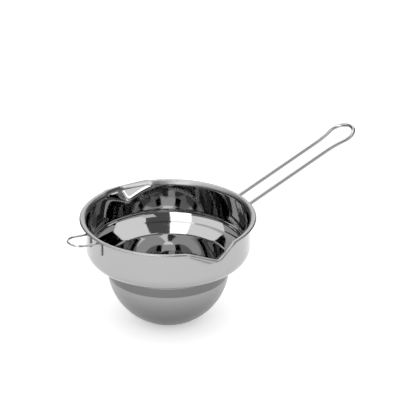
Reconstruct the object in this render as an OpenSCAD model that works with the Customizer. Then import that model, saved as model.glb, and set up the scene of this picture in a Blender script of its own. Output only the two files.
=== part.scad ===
// Melting pot: a pressed stainless bowl with two pouring spouts, a long wire
// loop handle and a small wire hook. Both wires are spot-welded under the rim.
// Units are millimetres. +Z is up, +X runs along the handle, and the origin is
// the centre of the flat base, on its underside.

/* [Bowl] */
// Overall height, base to top of the rim
height = 94.2; // [85:0.1:110]
// Outside diameter of the upright wall
wall_d = 141; // [130:1:160]
// Diameter over the turned-out rim
rim_d = 151; // [144:1:175]
// Radius of the round lower bowl, outside
bowl_r = 52.6; // [46:0.2:56]
// Diameter of the flat pressed in the base
base_d = 42; // [36:1:56]
// Thickness of the sheet
sheet = 0.8; // [0.6:0.1:1.2]

/* [Shoulder] */
// Slope of the shoulder below level, in degrees
shoulder_slope = 25.5; // [18:0.5:32]
// Outside radius of the bend from the wall into the shoulder
shoulder_r = 11; // [6:0.5:14]
// Outside radius of the bend from the shoulder into the lower bowl
neck_r = 1.6; // [1:0.1:4]
// Depth from the rim to where the shoulder meets the lower bowl
neck_depth = 42.7; // [38:0.1:50]

/* [Rim] */
// Inside radius of the bend that turns the wall out into the rim
rim_bend_r = 3.2; // [1.2:0.1:4]
// Outside radius of the roll that turns the rim down to its edge
rim_roll_r = 2.2; // [1.8:0.1:6]

/* [Spouts] */
// Depth of a spout below the rim, where its valley leaves the wall
spout_depth = 14.7; // [10:0.1:20]
// How far a spout's tip stands out from the axis
spout_reach = 86; // [80:0.5:90]
// How far a spout's tip lies below the rim
spout_drop = 6.2; // [2:0.1:8]
// Half width of a spout at the rim
spout_half_w = 20; // [12:0.5:22]

/* [Handle] */
// Diameter of the handle wire
handle_wire_d = 3.5; // [3:0.1:5]
// Distance between the two straight wires, centre to centre
handle_gap = 18.4; // [14:0.2:26]
// Rise of the handle above level, in degrees
handle_rise = 22; // [10:0.5:30]
// Length of the handle from the rim to its tip, along the wire
handle_len = 119.5; // [100:0.5:160]
// Radius of the round loop at the end, to the wire's centre
loop_r = 12.2; // [11:0.1:18]
// Radius of the sweep from a straight wire into the end loop
sweep_r = 68; // [20:1:80]
// Length of the welded legs
handle_leg = 14; // [10:0.5:16]
// Radius of the bend from a leg into the handle, to the wire's centre
handle_bend_r = 5; // [4:0.5:7]

/* [Hook] */
// Diameter of the hook wire
hook_wire_d = 2; // [1.6:0.1:3]
// Half width of the hook, to the wire's centre
hook_half_w = 9.8; // [7:0.1:14]
// Rise of the hook above level, in degrees
hook_rise = 4; // [0:0.5:15]
// Length of the hook from the rim to its tip, along the wire
hook_len = 20; // [16:0.5:35]
// Length of the hook's welded legs
hook_leg = 9; // [6:0.5:12]
// Radius of the bend from a leg into the hook, to the wire's centre
hook_bend_r = 3; // [2:0.5:5]

/* [Hidden] */
$fn = 96;
// A weld sinks the wire this far into the wall
weld_bite = 0.15;
// Extra length on cutting shapes
over = 1;
// A bend's wire is this much larger in radius than a straight wire
bend_swell = 0.02;
// Length by which a straight wire laps into a bend
lap = 0.3;
wall_r = wall_d / 2;
rim_r = rim_d / 2;
base_r = base_d / 2;

// Centre of the round lower bowl, above the base
bowl_z = sqrt(bowl_r * bowl_r - base_r * base_r);

// Shoulder line on the outer skin: normal, direction and distance from the origin
slope_n = [sin(shoulder_slope), -cos(shoulder_slope)];
slope_u = [cos(shoulder_slope), sin(shoulder_slope)];
neck = [bowl_r - 1.2, height - neck_depth];
slope_c = slope_n * neck;

// Bend from the wall into the shoulder
shoulder_x = wall_r - shoulder_r;
shoulder_z = (slope_n[0] * shoulder_x + shoulder_r - slope_c) / cos(shoulder_slope);
shoulder_c = [shoulder_x, shoulder_z];

// Bend from the shoulder into the lower bowl, its centre outside the sheet
bowl_c = [0, bowl_z];
neck_t = slope_u * bowl_c + sqrt(pow(bowl_r + neck_r, 2) - pow(slope_c + neck_r - slope_n * bowl_c, 2));
neck_c = slope_n * (slope_c + neck_r) + slope_u * neck_t;

// Rim: bend out of the wall, then a roll down to the edge
rim_bend_c = [wall_r + rim_bend_r, height - sheet - rim_bend_r];
rim_roll_c = [wall_r + rim_bend_r, height - rim_roll_r];
rim_roll_a = asin((rim_r - rim_roll_c[0]) / rim_roll_r);
rim_edge_z = rim_roll_c[1] + rim_roll_r * cos(rim_roll_a);

// Spout: the valley runs from the wall to the tip
valley_rise = atan2(spout_depth - spout_drop, spout_reach - wall_r);
corner_in = wall_r - sqrt(wall_r * wall_r - spout_half_w * spout_half_w);
corner_up = corner_in * sin(valley_rise) + spout_depth * cos(valley_rise);
valley_half = atan2(spout_half_w, corner_up);
lip_fall = atan2(spout_drop, spout_reach - wall_r + corner_in);

// A wire runs straight from its bend at the leg, passing close under the rim's edge
rim_gap = 0.3;
function leg_x(y, r) = sqrt(wall_r * wall_r - y * y) + r - weld_bite;
function under_rim_z(r, rise) = rim_edge_z - sheet - rim_gap - r / cos(rise);
function bend_z(z, x, bend, rise) =
    z - (rim_r - x) * tan(rise) + bend * (tan(rise) - 1 / cos(rise));
function run_start(x, bend, rise) = (x + bend - bend * sin(rise) - rim_r) / cos(rise);

// Handle: legs, bends and the end loop
handle_y = handle_gap / 2;
handle_r = handle_wire_d / 2;
handle_leg_x = leg_x(handle_y, handle_r);
handle_z = under_rim_z(handle_r, handle_rise);
handle_bend_z = bend_z(handle_z, handle_leg_x, handle_bend_r, handle_rise);
handle_start = run_start(handle_leg_x, handle_bend_r, handle_rise);
loop_x = handle_len - loop_r;
sweep_x = loop_x - sqrt(pow(loop_r + sweep_r, 2) - pow(handle_y + sweep_r, 2));
sweep_a = asin((loop_x - sweep_x) / (loop_r + sweep_r));

// Hook: legs, bends and the rounded end
hook_r = hook_wire_d / 2;
hook_leg_x = leg_x(hook_half_w, hook_r);
hook_z = under_rim_z(hook_r, hook_rise);
hook_bend_z = bend_z(hook_z, hook_leg_x, hook_bend_r, hook_rise);
hook_start = run_start(hook_leg_x, hook_bend_r, hook_rise);
hook_round_x = hook_len - hook_half_w;

// Keeps what is right of the axis, used to trim sections to positive radius
module positive_r() {
    intersection() {
        children();
        translate([0, -over])
            square([rim_r + over, height + 2 * over]);
    }
}

// Everything inside the skin that lies `d` inside the outer skin, as a half section
module filled_section(d) {
    wall_top = height + over;
    bend_out = shoulder_c + [shoulder_r - d, 0];
    bend_in = shoulder_c + (shoulder_r - d) * slope_n;
    neck_out = neck_c - (neck_r + d) * slope_n;
    neck_in = neck_c + (neck_r + d) * (bowl_c - neck_c) / (bowl_r + neck_r);
    positive_r() union() {
        // lower bowl with its flat base
        intersection() {
            translate(bowl_c)
                circle(bowl_r - d);
            translate([-over, d])
                square([bowl_r + over, neck_in[1] - d]);
        }
        // upright wall and shoulder
        difference() {
            union() {
                polygon([[0, neck_in[1]], neck_in, neck_out, bend_in, bend_out,
                         [wall_r - d, wall_top], [0, wall_top]]);
                translate(shoulder_c)
                    circle(shoulder_r - d);
            }
            translate(neck_c)
                circle(neck_r + d);
        }
    }
}

// Cross section of the turned-out rim
module rim_section() {
    // bend out of the wall
    difference() {
        translate(rim_bend_c)
            circle(rim_bend_r + sheet);
        translate(rim_bend_c)
            circle(rim_bend_r);
        translate(rim_bend_c)
            square(rim_bend_r + sheet + over);
        translate([rim_bend_c[0] - 2 * sheet - 2 * rim_bend_r, rim_bend_c[1] - 2 * sheet - 2 * rim_bend_r])
            square([4 * rim_bend_r + 4 * sheet, 2 * rim_bend_r + 2 * sheet]);
    }
    // roll down to the edge
    intersection() {
        difference() {
            translate(rim_roll_c)
                circle(rim_roll_r);
            translate(rim_roll_c)
                circle(rim_roll_r - sheet);
        }
        translate(rim_roll_c)
            polygon([[0, 0], [0, 2 * rim_roll_r],
                     2 * rim_roll_r * [sin(rim_roll_a), cos(rim_roll_a)]]);
    }
}

// The bowl before its spouts are pressed
module turned_bowl() {
    rotate_extrude() {
        difference() {
            filled_section(0);
            filled_section(sheet);
            translate([-over, rim_bend_c[1]])
                square([rim_r + 2 * over, height]);
        }
        rim_section();
    }
}

// V-shaped bar along a spout's valley, its skin `d` outside the inner face
module valley_bar(d) {
    run = 2 * (spout_reach - wall_r) + 2 * spout_depth;
    tall = 3 * spout_depth;
    foot = -d / sin(valley_half);
    side = (tall - foot) * tan(valley_half);
    translate([wall_r, 0, height - spout_depth])
        rotate([0, -valley_rise, 0])
            translate([-spout_depth / 3, 0, 0])
                rotate([90, 0, 90])
                    linear_extrude(run)
                        polygon([[0, foot], [side, tall], [-side, tall]]);
}

// Everything below a spout's lip, from the rim's corners down to the tip
module below_lip() {
    translate([wall_r - corner_in, 0, height])
        rotate([0, lip_fall, 0])
            translate([-over, -rim_r / 2, -height / 2])
                cube([spout_reach - wall_r + corner_in + over, rim_r, height / 2]);
}

// Sheet of one spout, outside the wall
module spout_sheet() {
    difference() {
        intersection() {
            valley_bar(sheet);
            below_lip();
        }
        cylinder(h = 3 * height, r = wall_r - sheet, center = true);
    }
}

module at_spouts() {
    for (turn = [90, -90])
        rotate([0, 0, turn])
            children();
}

module bowl() {
    color("gainsboro")
        difference() {
            union() {
                turned_bowl();
                at_spouts() spout_sheet();
            }
            at_spouts() valley_bar(0);
        }
}

// Straight wire along +X, lapping into the bends at both ends
module wire_run(length, r) {
    translate([-lap, 0, 0])
        rotate([0, 90, 0])
            cylinder(h = length + 2 * lap, r = r);
}

// Curved wire in the XY plane about the origin, from angle `from` through `sweep`
module wire_arc(bend, r, from, sweep) {
    rotate([0, 0, from])
        rotate_extrude(angle = sweep)
            translate([bend, 0])
                circle(r);
}

// Leg against the wall and its bend, leaving the top at angle `rise` above level
module wire_leg(length, bend, r, rise) {
    translate([0, 0, -length]) {
        cylinder(h = length + lap, r = r);
        sphere(r);
    }
    translate([bend, 0, 0])
        rotate([90, 0, 0])
            wire_arc(bend, r + bend_swell, 90 + rise, 90 - rise);
}

// One side of the handle, on the +Y side
module handle_side() {
    translate([handle_leg_x, handle_y, handle_bend_z])
        wire_leg(handle_leg, handle_bend_r, handle_r, handle_rise);
    translate([rim_r, 0, handle_z])
        rotate([0, -handle_rise, 0]) {
            translate([handle_start, handle_y, 0])
                wire_run(sweep_x - handle_start, handle_r);
            translate([sweep_x, handle_y + sweep_r, 0])
                wire_arc(sweep_r, handle_r + bend_swell, -90, sweep_a);
        }
}

// Rounded end of the handle, lapping into both sweeps
module handle_end() {
    half_turn = 90 + sweep_a + lap / loop_r * 180 / PI;
    translate([rim_r, 0, handle_z])
        rotate([0, -handle_rise, 0])
            translate([loop_x, 0, 0])
                wire_arc(loop_r, handle_r, -half_turn, 2 * half_turn);
}

module handle() {
    color("silver")
        union() {
            handle_side();
            mirror([0, 1, 0]) handle_side();
            handle_end();
        }
}

// One side of the hook, on the +Y side, pointing along +X
module hook_side() {
    translate([hook_leg_x, hook_half_w, hook_bend_z])
        wire_leg(hook_leg, hook_bend_r, hook_r, hook_rise);
    translate([rim_r, 0, hook_z])
        rotate([0, -hook_rise, 0])
            translate([hook_start, hook_half_w, 0])
                wire_run(hook_round_x - hook_start, hook_r);
}

// Rounded end of the hook
module hook_end() {
    translate([rim_r, 0, hook_z])
        rotate([0, -hook_rise, 0])
            translate([hook_round_x, 0, 0])
                wire_arc(hook_half_w, hook_r + bend_swell, -90, 180);
}

module hook() {
    color("silver")
        rotate([0, 0, 180])
            union() {
                hook_side();
                mirror([0, 1, 0]) hook_side();
                hook_end();
            }
}

bowl();
handle();
hook();
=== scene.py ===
# %% [markdown]
# # A wax melting pot in pressed stainless steel
#
# The real pot is one deep-drawn steel bowl with two bent wires welded to it: a long loop handle
# and a small hook. The CAD model holds the sizes. Here each piece is modelled again with a
# smoother skin, because polished steel shows every small error of its shape in its reflections.

# %% Load the frame
from math import asin, atan2, cos, hypot, pi, radians, sin, sqrt, tan
import bpy
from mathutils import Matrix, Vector


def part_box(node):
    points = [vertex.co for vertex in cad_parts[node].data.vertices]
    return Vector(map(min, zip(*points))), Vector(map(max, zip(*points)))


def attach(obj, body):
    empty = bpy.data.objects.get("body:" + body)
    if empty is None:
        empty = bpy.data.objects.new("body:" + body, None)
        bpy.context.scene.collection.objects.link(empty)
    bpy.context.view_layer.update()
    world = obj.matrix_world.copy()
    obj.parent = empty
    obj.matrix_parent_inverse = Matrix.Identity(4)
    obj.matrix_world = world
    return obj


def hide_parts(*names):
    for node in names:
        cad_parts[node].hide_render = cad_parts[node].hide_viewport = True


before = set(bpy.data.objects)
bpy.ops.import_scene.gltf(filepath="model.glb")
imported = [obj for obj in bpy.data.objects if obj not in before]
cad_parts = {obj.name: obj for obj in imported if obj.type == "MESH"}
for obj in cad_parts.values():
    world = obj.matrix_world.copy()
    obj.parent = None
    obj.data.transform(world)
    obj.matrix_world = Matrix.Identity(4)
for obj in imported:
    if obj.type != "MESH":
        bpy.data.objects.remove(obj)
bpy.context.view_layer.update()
# the frame is in metres, and the sizes of the pot are easier to read in millimetres
MM = 0.001

# %% [markdown]
# ## Small helpers
#
# Modelling by hand means selecting something and then using a tool on it. An operator acts on all
# that is selected, so every piece starts from nothing selected. These helpers hold the few calls
# that each piece needs: open it for editing, close it again, and finish it with a modifier.

# %% Helpers for selecting and finishing
def deselect_all():
    bpy.ops.object.select_all(action="DESELECT")


def start_edit(obj):
    deselect_all()
    obj.select_set(True)
    bpy.context.view_layer.objects.active = obj
    bpy.ops.object.mode_set(mode="EDIT")
    bpy.ops.mesh.select_mode(type="VERT")


def end_edit():
    bpy.ops.object.mode_set(mode="OBJECT")


def apply_modifier(obj, kind, **settings):
    modifier = obj.modifiers.new(kind.title(), kind)
    for key, value in settings.items():
        setattr(modifier, key, value)
    bpy.context.view_layer.objects.active = obj
    bpy.ops.object.modifier_apply(modifier=modifier.name)


def report(obj):
    triangles = sum(len(p.vertices) - 2 for p in obj.data.polygons)
    print(f"{obj.name}: {len(obj.data.vertices)} vertices, {triangles} triangles")


# %% [markdown]
# ## The bowl's section
#
# A deep-drawn pot is round, so half of its section is drawn and spun about its axis. A cylinder
# and a sphere could be joined instead, but the bends between them are what the eye follows. The
# section runs along the outer skin from the middle of the base to the rim: a flat, the round lower
# bowl, a tight neck, the sloping shoulder, a round bend, the upright wall, and the turned-out rim.
# Every stretch is a line or an arc that leaves the last one smoothly, because a polished surface
# shows a kink as a break in its reflections.

# %% Driving sizes of the bowl, in millimetres
bowl_low, bowl_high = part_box("bowl")
SHEET = 0.8
HEIGHT = 94.2
RIM_R = bowl_high[0] / MM
WALL_R = 70.5
BOWL_R = 52.6
BASE_R = 21
BASE_BEND_R = 9
SHOULDER_SLOPE = radians(25.5)
SHOULDER_R = 11
NECK_R = 1.6
# the shoulder's slope, drawn on, passes this point: so deep, and so far inside the lower bowl
NECK_DEPTH = 42.7
NECK_INSET = 1.2
RIM_BEND_R = 3.2
RIM_ROLL_R = 2.2
print("rim radius from the CAD, mm:", round(RIM_R, 2))
print("top of the CAD bowl, mm:", round(bowl_high[2] / MM, 2))

# %% [markdown]
# ## The centres of the bends
#
# The drawn arcs touch each other, so their centres follow from the radii. The lower bowl rolls
# over into the flat base, and the neck's small arc touches both the lower bowl and the slope. The
# centres could be typed in, but worked out they stay right when a size changes.

# %% Where the arcs have their centres
def along(direction, length):
    return Vector((cos(direction), sin(direction))) * length


bowl_centre = Vector((0, sqrt(BOWL_R**2 - BASE_R**2)))
base_bend_x = sqrt((BOWL_R - BASE_BEND_R) ** 2 - (bowl_centre.y - BASE_BEND_R) ** 2)
base_bend = Vector((base_bend_x, BASE_BEND_R))
slope_normal = along(SHOULDER_SLOPE - pi / 2, 1)
slope_run = along(SHOULDER_SLOPE, 1)
slope_line = slope_normal.dot(Vector((BOWL_R - NECK_INSET, HEIGHT - NECK_DEPTH)))
neck_off = slope_line + NECK_R - slope_normal.dot(bowl_centre)
neck_along = slope_run.dot(bowl_centre) + sqrt((BOWL_R + NECK_R) ** 2 - neck_off**2)
neck = slope_normal * (slope_line + NECK_R) + slope_run * neck_along
shoulder_x = WALL_R - SHOULDER_R
shoulder_z = (slope_normal.x * shoulder_x + SHOULDER_R - slope_line) / cos(SHOULDER_SLOPE)
shoulder = Vector((shoulder_x, shoulder_z))
rim_bend = Vector((WALL_R + RIM_BEND_R, HEIGHT - SHEET - RIM_BEND_R))
rim_roll = Vector((rim_bend.x, HEIGHT - RIM_ROLL_R))
rim_roll_angle = asin((RIM_R - rim_roll.x) / RIM_ROLL_R)
print("neck at", [round(v, 2) for v in neck], "shoulder bend at", [round(v, 2) for v in shoulder])

# %% [markdown]
# ## Draw the section
#
# The pen below draws the section as by hand: it extrudes the last vertex along a line, or spins it
# round a centre. A curve object could hold the same line, but vertices laid at known steps give an
# even mesh. Tight bends get short steps, because they turn most within a millimetre.

# %% A pen that draws in the XZ plane
class Pen:
    def __init__(self, name, x, z):
        bpy.ops.mesh.primitive_plane_add(size=MM, location=(0, 0, 0))
        self.obj = bpy.context.object
        self.obj.name = name
        start_edit(self.obj)
        bpy.ops.mesh.select_all(action="SELECT")
        bpy.ops.mesh.merge(type="CENTER")
        bpy.ops.transform.translate(value=(x * MM, 0, z * MM))
        self.at = Vector((x, z))

    def line_to(self, x, z, step):
        target = Vector((x, z))
        count = max(1, round((target - self.at).length / step))
        move = (target - self.at) / count * MM
        for _ in range(count):
            bpy.ops.mesh.extrude_region_move(TRANSFORM_OT_translate={"value": (move.x, 0, move.y)})
        self.at = target

    def arc_to(self, centre, end, step):
        """Spin about centre to the direction `end`, by the shorter way.

        The spin tool turns clockwise when looked at against its axis.
        """
        out = self.at - centre
        turn = (end - atan2(out.y, out.x) + pi) % (2 * pi) - pi
        count = max(2, round(abs(turn) * out.length / step))
        axis = (0, 1, 0) if turn > 0 else (0, -1, 0)
        bpy.ops.mesh.spin(steps=count, angle=abs(turn), center=(centre.x * MM, 0, centre.y * MM),
                          axis=axis)
        self.at = centre + along(end, out.length)


# %% Draw the section
def direction(vector):
    return atan2(vector.y, vector.x)


deselect_all()
pen = Pen("bowl_shell", 0, 0)
pen.line_to(base_bend.x, 0, step=3)
pen.arc_to(base_bend, direction(base_bend - bowl_centre), step=0.9)
pen.arc_to(bowl_centre, direction(neck - bowl_centre), step=2)
pen.arc_to(neck, SHOULDER_SLOPE + pi / 2, step=0.3)
slope_end = shoulder + slope_normal * SHOULDER_R
pen.line_to(slope_end.x, slope_end.y, step=1.6)
pen.arc_to(shoulder, 0, step=0.8)
pen.line_to(WALL_R, rim_bend.y, step=1)
pen.arc_to(rim_bend, pi / 2, step=0.32)
pen.arc_to(rim_roll, pi / 2 - rim_roll_angle, step=0.5)
end_edit()
print("section drawn with", len(pen.obj.data.vertices), "vertices")
print("it ends at, mm:", [round(v, 2) for v in pen.at])

# %% [markdown]
# ## Spin the bowl
#
# One full turn gives the whole skin. A Screw modifier would do the same, but the spin tool leaves a
# mesh that the next steps can press. The start and end of the spin lie on each other, and so do all
# the copies of the vertex on the axis, so they are merged.

# %% One full turn
SPIN_STEPS = 360
bowl = pen.obj
start_edit(bowl)
bpy.ops.mesh.select_all(action="SELECT")
bpy.ops.mesh.spin(steps=SPIN_STEPS, angle=2 * pi, center=(0, 0, 0), axis=(0, 0, 1))
bpy.ops.mesh.select_all(action="SELECT")
bpy.ops.mesh.remove_doubles(threshold=0.01 * MM)
bpy.ops.mesh.normals_make_consistent(inside=False)
end_edit()
lowest = min(bowl.data.polygons, key=lambda p: p.center.z)
if lowest.normal.z > 0:
    bowl.data.flip_normals()
report(bowl)

# %% [markdown]
# ## Mark the lip
#
# The turned-out lip is polished less brightly than the wall, so it gets its own finish. It could be
# chosen after the spouts are pressed, but now it still lies level all round, and its height alone
# tells its faces from the wall's.

# %% Three finishes on one sheet
MIRROR, SATIN, LIP = range(3)
# the lip's finish begins a little way up the bend that turns the rim out
LIP_START = 0.15
for _ in (MIRROR, SATIN, LIP):
    bowl.data.materials.append(None)
lip_faces = 0
for face in bowl.data.polygons:
    if face.center.z / MM > rim_bend.y + LIP_START * RIM_BEND_R:
        face.material_index = LIP
        lip_faces += 1
print("lip faces:", lip_faces)

# %% [markdown]
# ## Press the spouts
#
# A V-shaped die pushes the rim outwards on two sides. Its valley starts on the wall and runs out to
# the tip, and its two flanks meet the wall in slanting creases. A sculpting brush could pull it out,
# but not the same on both sides, so the skin's vertices are moved as the die moves them: out to the
# die's face, where that lies further out than the wall. A soft maximum rounds the creases, as the
# sheet's own stiffness does.

# %% Shape of the die
SPOUT_DEPTH = 14.7
SPOUT_TIP = 80.9
SPOUT_DROP = 6
SPOUT_HALF_W = 20
VALLEY_SOFT = 1.6
CREASE_SOFT = 1.6
# at the tip the lip keeps less than half of its width, and narrows quickly towards it
RIM_AT_TIP = 0.45
LIP_NARROWING = 0.7
LIP_ROUNDING = 0.1
# the wall starts to give this far below the valley
FOOT_BELOW = 2
# a die this far inside the wall doesn't touch it
DEEP_INSIDE = 40
valley_foot = HEIGHT - SPOUT_DEPTH
corner_y = sqrt(WALL_R**2 - SPOUT_HALF_W**2)
valley_run = (SPOUT_TIP - WALL_R) / (rim_bend.y - valley_foot - SPOUT_DROP)
flank_lean = (WALL_R + (rim_bend.y - valley_foot) * valley_run - corner_y) / SPOUT_HALF_W


def soft_max(a, b, soft):
    return (a + b + sqrt((a - b) ** 2 + soft**2)) / 2


def off_middle(x):
    """The distance from the valley's middle line, rounded near it."""
    return sqrt(x * x + VALLEY_SOFT**2)


def lip_share(x):
    """1 at the tip, 0 beyond the corners, rounded at both."""
    share = 1 - off_middle(x) / SPOUT_HALF_W
    rounded = soft_max(share, 0, LIP_ROUNDING) - LIP_ROUNDING**2 / 4
    return max(0.0, rounded)


def pressed(x, y, z):
    """Where the die leaves a point of the skin; the spout points along +Y."""
    radius = hypot(x, y)
    wall_y = sqrt(max(WALL_R**2 - x * x, 0))
    share = lip_share(x)
    if radius > WALL_R + 0.01:
        # on the rim: carried out with the wall's top edge, and made narrower
        top = pressed(x * WALL_R / radius, y * WALL_R / radius, rim_bend.y)
        keep = 1 - (1 - RIM_AT_TIP) * share**LIP_NARROWING
        out = (radius - WALL_R) * keep
        return Vector((top.x + out * x / radius, top.y + out * y / radius, top.z + z - rim_bend.y))
    lip_z = rim_bend.y - SPOUT_DROP * share
    foot = valley_foot - FOOT_BELOW
    new_z = foot + (z - foot) * (lip_z - foot) / (rim_bend.y - foot)
    valley_y = WALL_R + (new_z - valley_foot) * valley_run
    die_y = valley_y - flank_lean * (off_middle(x) - VALLEY_SOFT)
    new_y = soft_max(wall_y, die_y, CREASE_SOFT)
    # far from the die the soft maximum still lies a little outside the wall, which this takes off
    calm = soft_max(wall_y, wall_y - DEEP_INSIDE, CREASE_SOFT) - wall_y
    return Vector((x, y + new_y - wall_y - calm, new_z))


# %% Press both sides
moved = 0
for vertex in bowl.data.vertices:
    x, y, z = vertex.co / MM
    if z > valley_foot - FOOT_BELOW and abs(x) < 2 * SPOUT_HALF_W:
        side = 1 if y > 0 else -1
        place = pressed(x, abs(y), z)
        vertex.co = Vector((place.x, side * place.y, place.z)) * MM
        moved += 1
print("vertices moved by the two dies:", moved)

# %% [markdown]
# ## Give the sheet its thickness
#
# Solidify lays the inner skin one sheet thickness inside the outer one. An inner section could be
# drawn too, but this way both skins follow the spouts. The cut edge of the rim is then broken with a
# small bevel, as a deburred edge is, and it catches a thin line of light.

# %% Thickness and the broken edge
EDGE_BREAK = 0.24
CREASE = radians(50)
apply_modifier(bowl, "SOLIDIFY", thickness=SHEET * MM, offset=-1, use_even_offset=True)
apply_modifier(bowl, "BEVEL", width=EDGE_BREAK * MM, segments=3, limit_method="ANGLE", angle_limit=CREASE)
deselect_all()
bowl.select_set(True)
bpy.context.view_layer.objects.active = bowl
bpy.ops.object.shade_smooth_by_angle(angle=CREASE)
report(bowl)

# %% [markdown]
# ## The wires
#
# Both wires are bent cold from one straight length. A curve with a round section could stand in for
# them, but it bunches up in tight bends. So each starts as a round section at the foot of a leg, and
# the same two moves repeat: extrude along a straight, and spin round a bend, which gives true arcs.
# Half of the wire is made, up to the middle of its end loop, and mirrored.

# %% Bend a wire
# the legs sink this far into the wall, as the melted weld lets them
WELD_BITE = 0.15
# and the wire passes this far under the rim's edge
RIM_GAP = 0.3
# the foot of a leg is rounded: heights and widths of its rings, in wire radii
FOOT_RINGS = ((0.0, 0.55), (0.12, 0.8), (0.4, 1.0))
# how many sections each stretch is drawn in
LEG_STEPS, BEND_STEPS, STRAIGHT_STEPS, SWEEP_STEPS, LOOP_STEPS = 6, 14, 12, 16, 36
rim_edge_z = rim_roll.y + RIM_ROLL_R * cos(rim_roll_angle)


class Wire:
    """The +Y half of a wire whose legs stand on the wall and which runs out along +X."""

    def __init__(self, name, radius, half_gap, sides):
        self.radius = radius
        self.half_gap = half_gap
        self.leg_x = sqrt(WALL_R**2 - half_gap**2) + radius - WELD_BITE
        deselect_all()
        bpy.ops.mesh.primitive_circle_add(vertices=sides, radius=radius * MM, fill_type="NGON",
                                          location=(self.leg_x * MM, half_gap * MM, 0))
        self.obj = bpy.context.object
        self.obj.name = name
        bpy.ops.object.transform_apply(location=True)
        start_edit(self.obj)
        bpy.ops.mesh.select_all(action="SELECT")

    def lift(self, z):
        bpy.ops.transform.translate(value=(0, 0, z * MM))

    def widen(self, ratio):
        middle = (self.leg_x * MM, self.half_gap * MM, 0)
        bpy.ops.transform.resize(value=(ratio, ratio, 1), center_override=middle)

    def run(self, heading, length):
        step = (cos(heading) * length * MM, 0, sin(heading) * length * MM)
        bpy.ops.mesh.extrude_region_move(TRANSFORM_OT_translate={"value": step})

    def foot(self):
        height, width = 0.0, 1.0
        for ring_height, ring_width in FOOT_RINGS:
            if ring_height > height:
                self.run(pi / 2, (ring_height - height) * self.radius)
            self.widen(ring_width / width)
            height, width = ring_height, ring_width

    def bend(self, centre, axis, angle, steps):
        bpy.ops.mesh.spin(steps=steps, angle=angle, center=tuple(c * MM for c in centre), axis=axis)


def wire_half(name, radius, half_gap, leg, leg_bend, rise, length, loop, sweep, sides):
    """Leg, bend, straight, sweep and half of the end loop, all in one half wire."""
    wire = Wire(name, radius, half_gap, sides)
    under_rim = rim_edge_z - SHEET - RIM_GAP - radius / cos(rise)
    bend_z = under_rim - (RIM_R - wire.leg_x) * tan(rise) + leg_bend * (tan(rise) - 1 / cos(rise))
    start = (wire.leg_x + leg_bend - leg_bend * sin(rise) - RIM_R) / cos(rise)
    loop_x = length - loop
    sweep_x = loop_x - sqrt(max((loop + sweep) ** 2 - (half_gap + sweep) ** 2, 0))
    sweep_turn = asin((loop_x - sweep_x) / (loop + sweep)) if sweep else 0.0
    out = Vector((cos(rise), 0, sin(rise)))
    up = Vector((-sin(rise), 0, cos(rise)))
    root = Vector((RIM_R, 0, under_rim))
    wire.lift(bend_z - leg - FOOT_RINGS[-1][0] * radius)
    wire.foot()
    for _ in range(LEG_STEPS):
        wire.run(pi / 2, leg / LEG_STEPS)
    wire.bend((wire.leg_x + leg_bend, half_gap, bend_z), (0, -1, 0), pi / 2 - rise, BEND_STEPS)
    straight = (sweep_x if sweep else loop_x) - start
    for _ in range(STRAIGHT_STEPS):
        wire.run(rise, straight / STRAIGHT_STEPS)
    if sweep:
        sweep_centre = root + out * sweep_x + Vector((0, half_gap + sweep, 0))
        wire.bend(sweep_centre, -up, sweep_turn, SWEEP_STEPS)
    wire.bend(root + out * loop_x, up, pi / 2 + sweep_turn, LOOP_STEPS)
    end_edit()
    return wire.obj


def whole_wire(half):
    """Mirror the half wire and close it into one skin."""
    deselect_all()
    half.select_set(True)
    apply_modifier(half, "MIRROR", use_axis=(False, True, False), use_clip=True, use_mirror_merge=True,
                   merge_threshold=0.02 * MM)
    start_edit(half)
    # the end faces left at the middle of the loop are inside the wire
    bpy.ops.mesh.select_mode(type="FACE")
    bpy.ops.mesh.select_all(action="DESELECT")
    bpy.ops.object.mode_set(mode="OBJECT")
    for face in half.data.polygons:
        face.select = all(abs(half.data.vertices[v].co.y) < 0.01 * MM for v in face.vertices)
    bpy.ops.object.mode_set(mode="EDIT")
    bpy.ops.mesh.delete(type="ONLY_FACE")
    bpy.ops.mesh.select_mode(type="VERT")
    bpy.ops.mesh.select_all(action="SELECT")
    bpy.ops.mesh.remove_doubles(threshold=0.005 * MM)
    bpy.ops.mesh.normals_make_consistent(inside=False)
    end_edit()
    deselect_all()
    half.select_set(True)
    bpy.ops.object.shade_smooth_by_angle(angle=radians(45))
    report(half)
    return half


# %% [markdown]
# ## The handle
#
# The handle is bent from 3.5 mm wire. Its two straights run side by side out from under the rim and
# up, then sweep apart into a round loop that hangs on a nail. A round bar would be simpler, but the
# open wire stays cool and is what the real one has.

# %% The loop handle
handle = whole_wire(wire_half("handle_wire", radius=3.5 / 2, half_gap=9.2, leg=14, leg_bend=5,
                              rise=radians(22), length=119.5, loop=12.2, sweep=68, sides=32))

# %% [markdown]
# ## The hook
#
# The hook rests on the edge of the pan that holds the water. It is bent from 2 mm wire and has no
# sweep: its end is a plain half circle. The same function could draw it towards -X, but it is
# easier to make it along +X like the handle and then turn it to the other side.

# %% The wire hook
hook = whole_wire(wire_half("hook_wire", radius=2 / 2, half_gap=9.8, leg=9, leg_bend=3,
                            rise=radians(4), length=20, loop=9.8, sweep=0, sides=24))
start_edit(hook)
bpy.ops.mesh.select_all(action="SELECT")
bpy.ops.transform.resize(value=(-1, -1, 1), center_override=(0, 0, 0))
bpy.ops.mesh.normals_make_consistent(inside=False)
end_edit()

# %% [markdown]
# ## Join the frame
#
# Each new piece stands for its CAD node and rides on the same body. The CAD nodes could be shown
# instead, but their flat triangles would break up the reflections.

# %% Stand in for the CAD nodes
for piece, node, slot in ((bowl, "bowl", "bowl_steel"), (handle, "handle", "handle_wire"),
                          (hook, "hook", "hook_wire")):
    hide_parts(node)
    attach(piece, "root")
    print(piece.name, "stands for", node)

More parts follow.
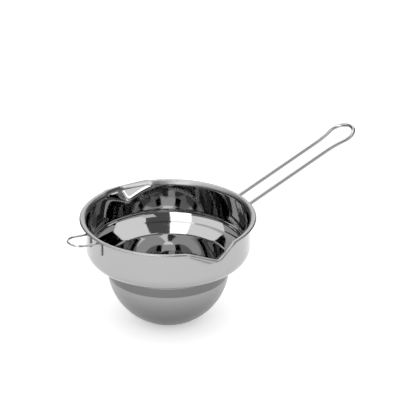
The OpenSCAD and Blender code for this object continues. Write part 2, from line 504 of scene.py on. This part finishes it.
# %% [markdown]
# ## Stainless steel
#
# The pot is 18/8 stainless, a grey metal. What the eye sees is mostly its surroundings, so the
# finish is in the roughness and in very fine marks. One metal with one roughness would be quicker,
# but the four ways in which this steel was polished are what tells its surfaces apart.

# %% Nodes and colours
def linear(hex_colour):
    """An sRGB hex colour as the linear values that the shader needs."""
    channels = [int(hex_colour[i:i + 2], 16) / 255 for i in (0, 2, 4)]
    return [c / 12.92 if c <= 0.04045 else ((c + 0.055) / 1.055) ** 2.4 for c in channels] + [1.0]


def add_node(tree, kind, links=(), **settings):
    """Add a node, set its properties and sockets, and link other nodes' outputs to it."""
    node = tree.nodes.new(kind)
    for key, value in settings.items():
        if key in node.inputs:
            node.inputs[key].default_value = value
        else:
            setattr(node, key, value)
    for source, output, target in links:
        tree.links.new(source.outputs[output], node.inputs[target])
    return node


def steel(name, colour, roughness):
    material = bpy.data.materials.new(name)
    material.use_nodes = True
    shader = material.node_tree.nodes["Principled BSDF"]
    shader.inputs["Base Color"].default_value = linear(colour)
    shader.inputs["Metallic"].default_value = 1.0
    shader.inputs["Roughness"].default_value = roughness
    return material, material.node_tree, shader


# %% [markdown]
# ## Mirror polish
#
# The inside and the wall are buffed to a mirror. The press leaves the sheet very slightly wavy, so
# straight reflections wander, and the mop leaves marks too fine to see one by one, which show as a
# slightly uneven gloss. Scratches could be drawn as lines, but noise stretched round the pot is
# nearer to what a soft mop leaves.

# %% Mirror-polished steel
mirror_steel, tree, shader = steel("mirror_polished_18_8_stainless", "A8A8A8", 0.04)
place = add_node(tree, "ShaderNodeTexCoord")
# waves about 25 mm long, as a press leaves them
waves = add_node(tree, "ShaderNodeTexNoise", links=((place, "Object", "Vector"),),
                 Scale=40.0, Detail=1.0, Roughness=0.4)
# buffing marks, drawn about 1 mm wide: the real ones are finer than the render can show
buffing = add_node(tree, "ShaderNodeMapping", links=((place, "Object", "Vector"),), Scale=(60, 60, 900))
marks = add_node(tree, "ShaderNodeTexNoise", links=((buffing, "Vector", "Vector"),),
                 Scale=1.0, Detail=3.0, Roughness=0.6)
gloss = add_node(tree, "ShaderNodeMapRange", links=((marks, "Fac", "Value"),),
                 **{"From Min": 0.35, "From Max": 0.75, "To Min": 0.025, "To Max": 0.09})
tree.links.new(gloss.outputs["Result"], shader.inputs["Roughness"])
wavy = add_node(tree, "ShaderNodeBump", links=((waves, "Fac", "Height"),),
                Strength=0.6, Distance=0.12 * MM)
tree.links.new(wavy.outputs["Normal"], shader.inputs["Normal"])
print(mirror_steel.name, "has", len(tree.nodes), "nodes")

# %% [markdown]
# ## Satin finish
#
# The lower bowl hangs in the water bath and is only satin-finished outside: an abrasive pad held
# against the turning pot leaves fine rings, so its gloss is soft. Its colour has painted shade: it
# grows darker towards the base, for the floor's shadow mirrored in it, and a dark band just under the
# shoulder is painted shade where the shoulder overhangs it. The band could be a piece of its own, but
# it is the same sheet, so a ramp over the height changes the tone, and noise stretched into rings
# makes the gloss uneven.

# %% Satin-spun steel
# the height of the painted shade band under the shoulder, in millimetres
SHADE_BAND_WIDTH = 8
satin_steel, tree, shader = steel("satin_spun_18_8_stainless", "A3A3A3", 0.3)
place = add_node(tree, "ShaderNodeTexCoord")
# rings 0.7 mm apart: the real grit's rings are finer than the render can show
turning = add_node(tree, "ShaderNodeMapping", links=((place, "Object", "Vector"),), Scale=(25, 25, 1400))
rings = add_node(tree, "ShaderNodeTexNoise", links=((turning, "Vector", "Vector"),),
                 Scale=1.0, Detail=4.0, Roughness=0.65)
ring_gloss = add_node(tree, "ShaderNodeMapRange", links=((rings, "Fac", "Value"),),
                      **{"From Min": 0.3, "From Max": 0.7, "To Min": 0.26, "To Max": 0.38})
tree.links.new(ring_gloss.outputs["Result"], shader.inputs["Roughness"])
height = add_node(tree, "ShaderNodeSeparateXYZ", links=((place, "Object", "Vector"),))
# painted shade over the height: darker to the base for the floor's shadow, darkest under the shoulder
up_share = add_node(tree, "ShaderNodeMath", links=((height, "Z", 0),), operation="DIVIDE")
up_share.inputs[1].default_value = neck.y * MM
tones = add_node(tree, "ShaderNodeValToRGB", links=((up_share, "Value", "Fac"),))
shade_band_foot = 1 - SHADE_BAND_WIDTH / neck.y
# painted shade: these colour stops darken the base and a band under the shoulder's overhang
painted_shade_stops = ((0.0, "5F5F5F"), (0.35, "757575"), (shade_band_foot - 0.02, "999999"), (shade_band_foot, "727272"),
               (1.0, "727272"))
while len(tones.color_ramp.elements) < len(painted_shade_stops):
    tones.color_ramp.elements.new(0.5)
for stop, (at, tone) in zip(tones.color_ramp.elements, painted_shade_stops):
    stop.position = at
    stop.color = linear(tone)
tree.links.new(tones.outputs["Color"], shader.inputs["Base Color"])
ridges = add_node(tree, "ShaderNodeBump", links=((rings, "Fac", "Height"),),
                  Strength=0.25, Distance=0.05 * MM)
tree.links.new(ridges.outputs["Normal"], shader.inputs["Normal"])
print(satin_steel.name, "has", len(tree.nodes), "nodes")

# %% [markdown]
# ## Linished lip
#
# The lip is finished last, on a fine belt that takes the sharpness off the cut edge. That leaves it
# grey and soft, and it shows the room only as a broad light side and a dark side. The mirror finish
# with more roughness would be too even, so fine grit varies the gloss.

# %% Soft-polished steel of the lip
lip_steel, tree, shader = steel("linished_18_8_stainless_lip", "909090", 0.32)
place = add_node(tree, "ShaderNodeTexCoord")
# grit about 1.4 mm across: the belt's own is finer than the render can show
grit = add_node(tree, "ShaderNodeTexNoise", links=((place, "Object", "Vector"),),
                Scale=700.0, Detail=3.0, Roughness=0.6)
lip_gloss = add_node(tree, "ShaderNodeMapRange", links=((grit, "Fac", "Value"),),
                     **{"From Min": 0.3, "From Max": 0.7, "To Min": 0.29, "To Max": 0.36})
tree.links.new(lip_gloss.outputs["Result"], shader.inputs["Roughness"])
print(lip_steel.name, "has", len(tree.nodes), "nodes")

# %% [markdown]
# ## Drawn wire
#
# Wire gets its surface from the die that it is pulled through, and is only tumbled bright after
# that. It shines, but less cleanly than the buffed wall. Long scratches along the wire could be
# drawn with a map that follows it, but they are too fine to see here, so small dents do the work.

# %% Drawn wire
wire_steel, tree, shader = steel("drawn_18_8_stainless_wire", "A4A4A4", 0.12)
place = add_node(tree, "ShaderNodeTexCoord")
# marks about 2 mm across: the real ones are finer than the render can show
die_marks = add_node(tree, "ShaderNodeTexNoise", links=((place, "Object", "Vector"),),
                     Scale=500.0, Detail=3.0, Roughness=0.6)
wire_gloss = add_node(tree, "ShaderNodeMapRange", links=((die_marks, "Fac", "Value"),),
                      **{"From Min": 0.3, "From Max": 0.7, "To Min": 0.08, "To Max": 0.16})
tree.links.new(wire_gloss.outputs["Result"], shader.inputs["Roughness"])
dents = add_node(tree, "ShaderNodeBump", links=((die_marks, "Fac", "Height"),),
                 Strength=0.3, Distance=0.03 * MM)
tree.links.new(dents.outputs["Normal"], shader.inputs["Normal"])
print(wire_steel.name, "has", len(tree.nodes), "nodes")

# %% [markdown]
# ## Put the finishes on
#
# The three finishes share one sheet, so they go on as material slots of one mesh. The bowl could be
# cut into three objects, but its smooth shading would break at the cuts. A face is satin when it lies
# below the neck and looks outwards, which tells the outer skin from the inner one.

# %% Slots and faces
for index, finish in ((MIRROR, mirror_steel), (SATIN, satin_steel), (LIP, lip_steel)):
    bowl.data.materials[index] = finish
handle.data.materials.append(wire_steel)
hook.data.materials.append(wire_steel)
low_centre = Vector((0, 0, bowl_centre.y))
outer_skin = BOWL_R - 0.6 * SHEET
satin_faces = 0
for face in bowl.data.polygons:
    from_centre = face.center / MM - low_centre
    outside = face.normal.dot(from_centre) > 0 and from_centre.length > outer_skin
    if face.center.z / MM < neck.y and outside:
        face.material_index = SATIN
        satin_faces += 1
print("satin faces:", satin_faces, "of", len(bowl.data.polygons))

# %% [markdown]
# ## Camera
#
# The pot is looked down on from a little over two metres with a long lens, which keeps its upright
# wall upright. A short lens near the pot would show the same side, but would spread the rim. The
# camera is placed by two angles and a distance from the rim's middle, then moved sideways, so that
# the handle has room in the frame.

# %% Camera
CAMERA_TURN = radians(31)
CAMERA_PITCH = radians(25.8)
CAMERA_DISTANCE = 2.13
LENS = 214.3
AIM_RIGHT = 0.03586
AIM_UP = 0.00583
right = Vector((cos(CAMERA_TURN), -sin(CAMERA_TURN), 0))
level = Vector((sin(CAMERA_TURN), cos(CAMERA_TURN), 0))
forward = level * cos(CAMERA_PITCH) - Vector((0, 0, sin(CAMERA_PITCH)))
up = level * sin(CAMERA_PITCH) + Vector((0, 0, cos(CAMERA_PITCH)))
rim_centre = Vector((0, 0, rim_edge_z * MM))
aim = rim_centre + right * AIM_RIGHT + up * AIM_UP
bpy.ops.object.camera_add(location=aim - forward * CAMERA_DISTANCE,
                          rotation=(-forward).to_track_quat("Z", "Y").to_euler())
camera = bpy.context.object
camera.data.lens = LENS
camera.data.sensor_width = 36
bpy.context.scene.camera = camera
print("camera at", [round(v, 3) for v in camera.location])

# %% [markdown]
# ## Floor
#
# The pot stands on a wide white table. It could be lit by lamps alone, but a table that glows a
# little from below keeps the pot's shadow short and soft, as on a light table.

# %% Floor
FLOOR_GLOW = 0.38
deselect_all()
bpy.ops.mesh.primitive_plane_add(size=12, location=(0, 0, 0))
floor = bpy.context.object
floor.name = "floor"
floor_material, tree, shader = steel("pale_floor", "E6E6E6", 0.9)
shader.inputs["Metallic"].default_value = 0.0
shader.inputs["Emission Color"].default_value = (1, 1, 1, 1)
shader.inputs["Emission Strength"].default_value = FLOOR_GLOW
floor.data.materials.append(floor_material)
print("floor laid,", round(floor.dimensions.x, 1), "m wide")

# %% [markdown]
# ## A room to reflect
#
# Polished steel has hardly any look of its own: it shows the room. So the studio is dark, with a
# bright backdrop behind the pot and softboxes hung over it in a fan, with a dim gap between them.
# A point of the bowl shows one point of the room, which depends only on how far round the bowl it
# lies and how far its skin tilts. So each softbox is laid out in those two angles, on a dome round
# the pot, and turns into one clean panel of the shoulder's ring and of the lower bowl.

# %% The room seen in the bowl
DOME = 1.6
DOME_CENTRE = Vector((0, 0, 0.06))
SHOULDER_TILT, LOW_TILT = 25.5, 60.0


def mirrored(turn, tilt):
    """The way a look is mirrored by skin `turn` degrees round from the far side, tilted by `tilt`."""
    turn, tilt = radians(turn), radians(tilt)
    inward = (right * sin(turn) + level * cos(turn)) * -sin(tilt)
    normal = inward + Vector((0, 0, cos(tilt)))
    return forward - 2 * forward.dot(normal) * normal


def compass(turn, height):
    """A direction `turn` degrees to the right of straight away, `height` degrees up."""
    turn, height = radians(turn), radians(height)
    return (right * sin(turn) + level * cos(turn)) * cos(height) + Vector((0, 0, sin(height)))


def glowing(name, strength):
    material = bpy.data.materials.new(name)
    material.use_nodes = True
    tree = material.node_tree
    tree.nodes.clear()
    glow = add_node(tree, "ShaderNodeEmission", Strength=strength)
    add_node(tree, "ShaderNodeOutputMaterial", links=((glow, "Emission", "Surface"),))
    return material


def dome_panel(name, strength, place, far=1.0):
    """A glowing panel: `place` gives a direction for each of its points, in shares from 0 to 1."""
    deselect_all()
    bpy.ops.mesh.primitive_grid_add(x_subdivisions=12, y_subdivisions=16, size=1, location=(0, 0, 0))
    panel = bpy.context.object
    panel.name = name
    for vertex in panel.data.vertices:
        vertex.co = DOME_CENTRE + place(vertex.co.x + 0.5, vertex.co.y + 0.5) * DOME * far
    panel.data.materials.append(glowing(name + "_glow", strength))
    panel.visible_camera = False
    panel.visible_diffuse = False
    panel.visible_shadow = False


def sky_panel(name, strength, turns, heights, far):
    """A panel between two compass turns and two heights."""
    def place(across, up_it):
        turn = turns[0] + (turns[1] - turns[0]) * across
        return compass(turn, heights[0] + (heights[1] - heights[0]) * up_it)
    dome_panel(name, strength, place, far)


def fan_panel(name, strength, first, last, tilts):
    """A softbox between two edges, each given by its turn on the shoulder and on the lower bowl."""
    def place(across, along_it):
        tilt = tilts[0] + (tilts[1] - tilts[0]) * along_it
        share = (tilt - SHOULDER_TILT) / (LOW_TILT - SHOULDER_TILT)
        start = first[0] + (first[1] - first[0]) * share
        end = last[0] + (last[1] - last[0]) * share
        return mirrored(start + (end - start) * across, tilt)
    dome_panel(name, strength, place)


# %% [markdown]
# ## Softboxes and backdrop
#
# Each softbox is given by the turns where it starts and ends, first on the shoulder and then on the
# lower bowl, and by the tilts that it spans. The bright one is the key light. The inside shows the
# panels behind the pot mostly after two bounces, so they brighten the back wall and the lower bowl
# and leave the shoulder's dark ends alone. Area lamps could do the lighting, but a mirror needs
# shapes with clean edges, and those are quicker to place as glowing sheets.

# %% Softboxes over the pot
NEAR, FAR, WHOLE = (18, 60), (59, 76), (18, 76)
fan_panel("soft_right", 1.5, (-46, -42), (-16.5, -17.5), NEAR)
fan_panel("soft_right_front", 0.5, (-46, -42), (-16.5, -17.5), FAR)
fan_panel("dim_middle", 0.155, (-16.5, -17.5), (2, 1), WHOLE)
fan_panel("key_light", 3.2, (2, 1), (18, 17), WHOLE)
fan_panel("soft_left", 1.5, (18, 17), (48.5, 44), NEAR)
fan_panel("soft_left_front", 0.3, (18, 17), (48.5, 44), FAR)

# %% Backdrop and fill
sky_panel("wire_fill", 1.1, turns=(136, 158), heights=(24, 54), far=0.95)
sky_panel("backdrop", 1.6, turns=(-27, 27), heights=(-3, 63), far=1.1)
sky_panel("high_back_light", 3.6, turns=(-25, 35), heights=(49, 67), far=1.05)
sky_panel("dim_left", 0.6, turns=(-90, -48), heights=(22, 52), far=1.08)
sky_panel("dim_right", 0.6, turns=(48, 90), heights=(22, 52), far=1.08)

# %% [markdown]
# ## White tent
#
# The world stands for a white tent round the table. It lights the floor, and glows brightest low
# down. The steel doesn't mirror it, because a mirror in an evenly white tent shows nothing at all.
# Lamps could light the floor too, but each would throw a shadow of its own.

# %% World
world = bpy.data.worlds.new("white_tent")
bpy.context.scene.world = world
world.use_nodes = True
tree = world.node_tree
tent = add_node(tree, "ShaderNodeTexCoord")
tent_height = add_node(tree, "ShaderNodeSeparateXYZ", links=((tent, "Generated", "Vector"),))
low_glow = add_node(tree, "ShaderNodeMapRange", links=((tent_height, "Z", "Value"),),
                    **{"From Min": 0.3, "From Max": 0.95, "To Min": 1.5, "To Max": 0.9})
tree.links.new(low_glow.outputs["Result"], tree.nodes["Background"].inputs["Strength"])
tree.nodes["Background"].inputs["Color"].default_value = (1, 1, 1, 1)
world.cycles_visibility.glossy = False
bpy.context.scene.view_settings.view_transform = "Standard"
print("world:", world.name, "with", len(tree.nodes), "nodes")
